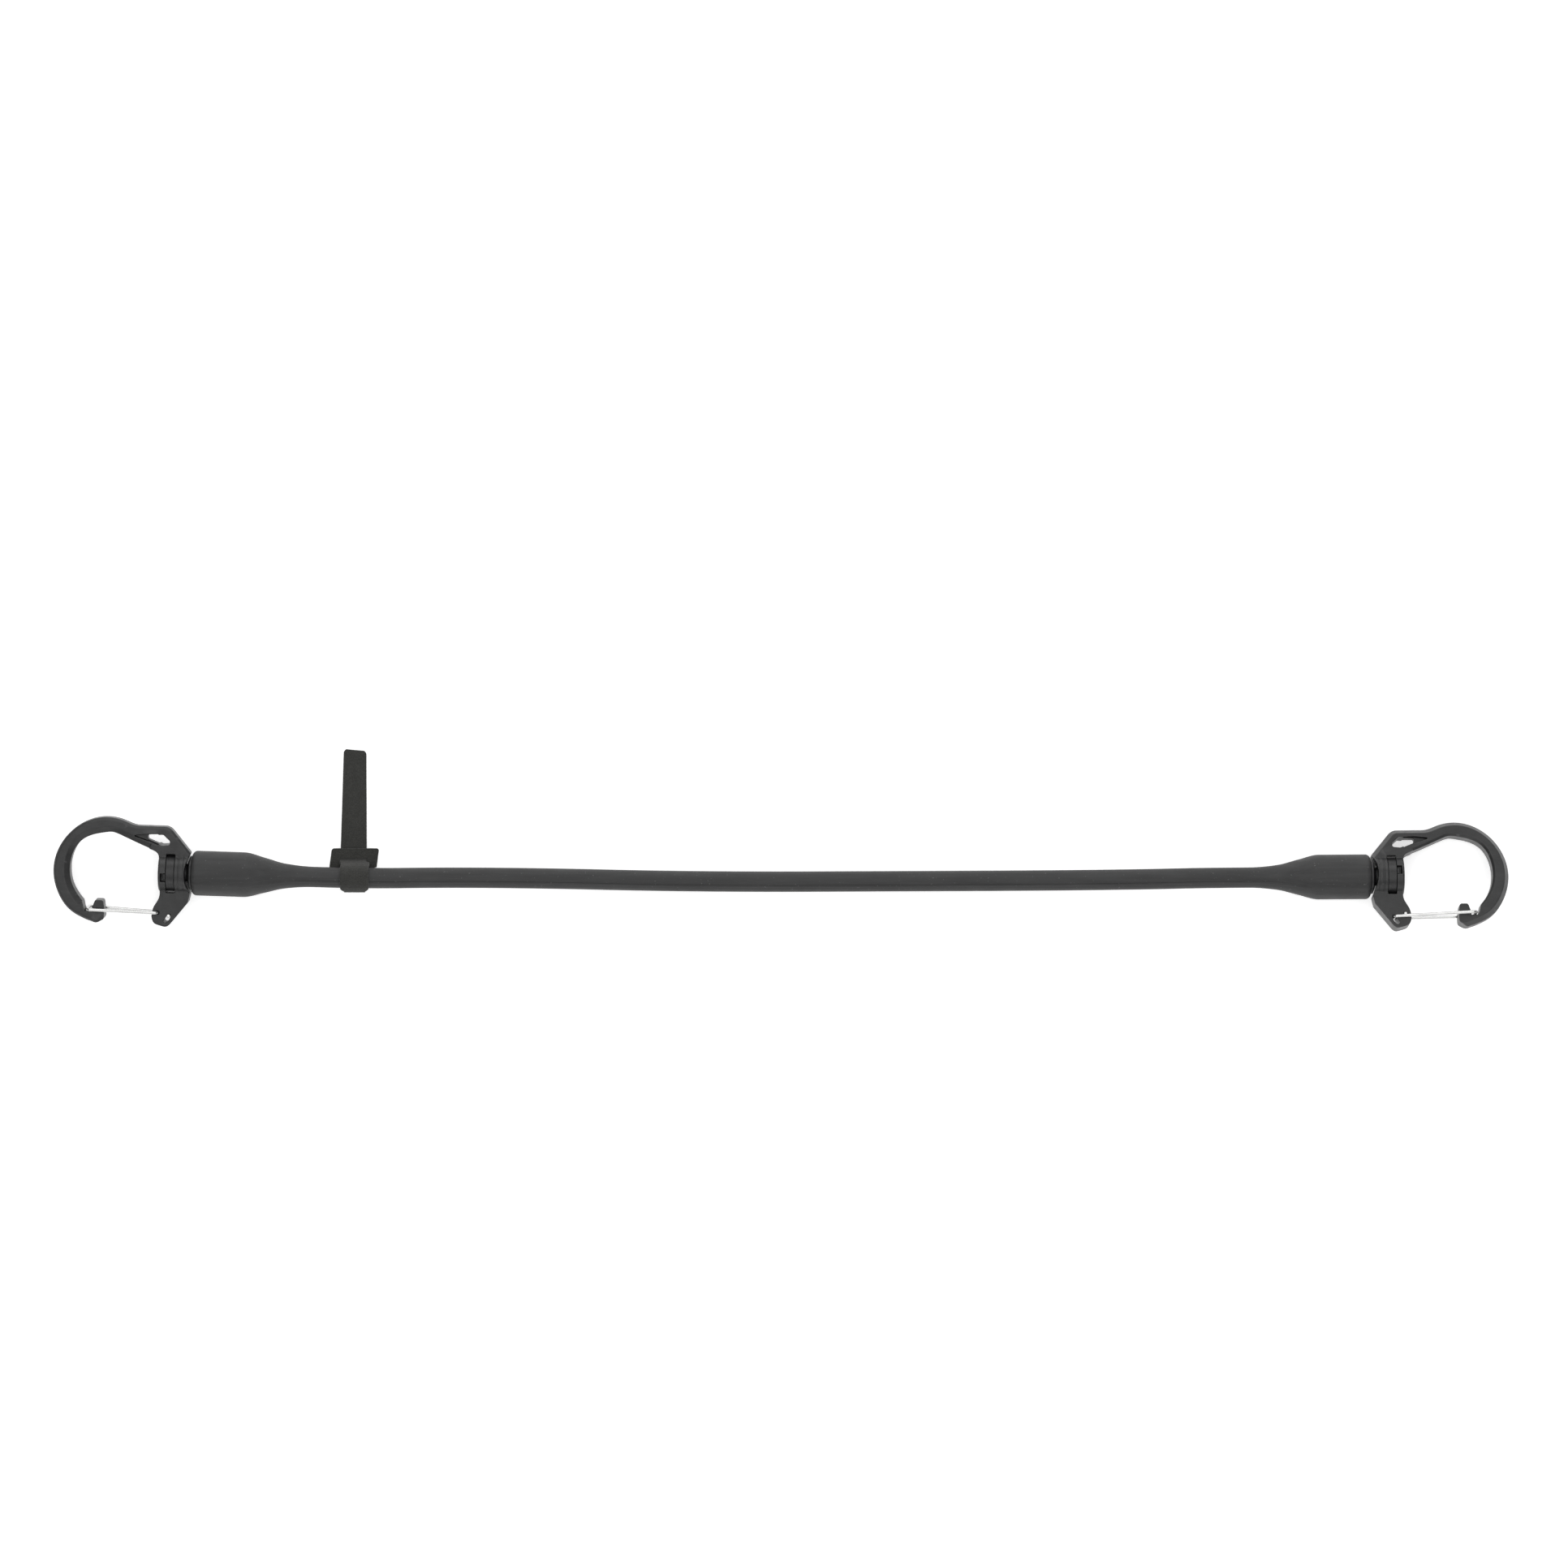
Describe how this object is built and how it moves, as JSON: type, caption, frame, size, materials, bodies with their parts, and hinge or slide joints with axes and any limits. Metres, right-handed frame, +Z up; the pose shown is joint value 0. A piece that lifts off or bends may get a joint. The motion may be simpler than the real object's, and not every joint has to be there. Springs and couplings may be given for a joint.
{
  "type": "elastic tie-down strap",
  "caption": "Elastic cargo tie-down strap: solid cord with moulded bulb ends, a swivelling snap hook with a wire gate at each end, and a hook-and-loop tie on the cord.",
  "frame": {"origin": "centre of the hooks' and bulbs' box over the ground the strap lies on, at the height of that ground", "axes": "+X along the strap from the left hook to the right hook, +Y towards the hooks' arm side, where the tie's tail lies, +Z up"},
  "size_m": [0.609, 0.0761, 0.0191],
  "materials": {
    "hook_nylon": "moulded, satin",
    "swivel_plastic": "moulded, satin",
    "gate_steel": "polished stainless wire",
    "elastic_rubber": "matte, moulded",
    "tie_cloth": "hook-and-loop cloth"
  },
  "bodies": {
    "root": {"elastic_cord": "elastic_rubber", "left_end_bulb": "elastic_rubber", "left_swivel_stem": "swivel_plastic"},
    "right_end": {"right_end_bulb": "elastic_rubber", "right_swivel_stem": "swivel_plastic"},
    "tie": {"tie_strap": "tie_cloth"},
    "left_hook": {"left_hook_body": "hook_nylon", "left_retainer_half_top": "swivel_plastic", "left_retainer_half_bottom": "swivel_plastic"},
    "left_gate": {"left_gate_wire": "gate_steel"},
    "right_hook": {"right_hook_body": "hook_nylon", "right_retainer_half_top": "swivel_plastic", "right_retainer_half_bottom": "swivel_plastic"},
    "right_gate": {"right_gate_wire": "gate_steel"}
  },
  "joints": [
    {"name": "cord_stretch", "type": "slide", "parent": "root", "child": "right_end", "axis": [1, 0, 0], "range_m": [0, 0.25], "stiffness_N_per_m": 600, "deforming": ["elastic_cord"]},
    {"name": "left_swivel", "type": "hinge", "parent": "root", "child": "left_hook", "pos_m": [-0.255, 0.00006, 0.0094], "axis": [0.9995, -0.0332, 0], "continuous": true},
    {"name": "left_gate", "type": "hinge", "parent": "left_hook", "child": "left_gate", "pos_m": [-0.26144, -0.01631, 0.00737], "axis": [0.004, 0.1218, -0.9925], "range_deg": [0, 32], "stiffness_Nm_per_rad": 0.12, "springref_deg": -25},
    {"name": "right_swivel", "type": "hinge", "parent": "right_end", "child": "right_hook", "pos_m": [0.2544, -0.00174, 0.0094], "axis": [-1, -0.007, 0], "continuous": true},
    {"name": "right_gate", "type": "hinge", "parent": "right_hook", "child": "right_gate", "pos_m": [0.26041, -0.01799, 0.0131], "axis": [-0.0015, 0.2215, 0.9751], "range_deg": [0, 32], "stiffness_Nm_per_rad": 0.12, "springref_deg": -25},
    {"name": "tie_slide", "type": "slide", "parent": "root", "child": "tie", "axis": [0.9999, 0.002, -0.011], "range_m": [-0.01, 0.04]}
  ]
}
